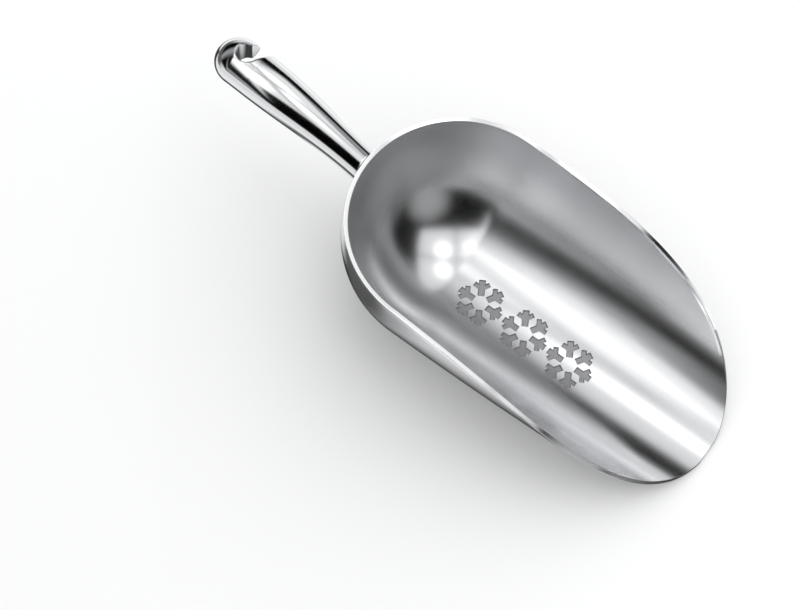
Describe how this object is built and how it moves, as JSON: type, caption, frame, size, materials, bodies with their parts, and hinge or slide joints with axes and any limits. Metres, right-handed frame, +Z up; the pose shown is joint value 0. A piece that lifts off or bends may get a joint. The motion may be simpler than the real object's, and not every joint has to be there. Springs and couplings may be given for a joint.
{
  "type": "ice scoop",
  "caption": "Polished metal ice scoop: round-backed open bowl swept down to a lip, solid handle welded to the back, hanging hook at the handle's end.",
  "frame": {"origin": "on the standing level under the ball-shaped back's centre, in the scoop's middle plane: the standing face mount lies in the plane z = 0", "axes": "+X towards the lip, +Z up, +Y towards the open side of the hanging hook"},
  "size_m": [0.2721, 0.104, 0.0771],
  "materials": {
    "bowl_metal": "satin polished",
    "handle_metal": "mirror polished",
    "weld_metal": "ground and polished"
  },
  "bodies": {
    "root": {"bowl": "bowl_metal", "handle": "handle_metal", "handle_weld": "weld_metal"}
  },
  "joints": []
}
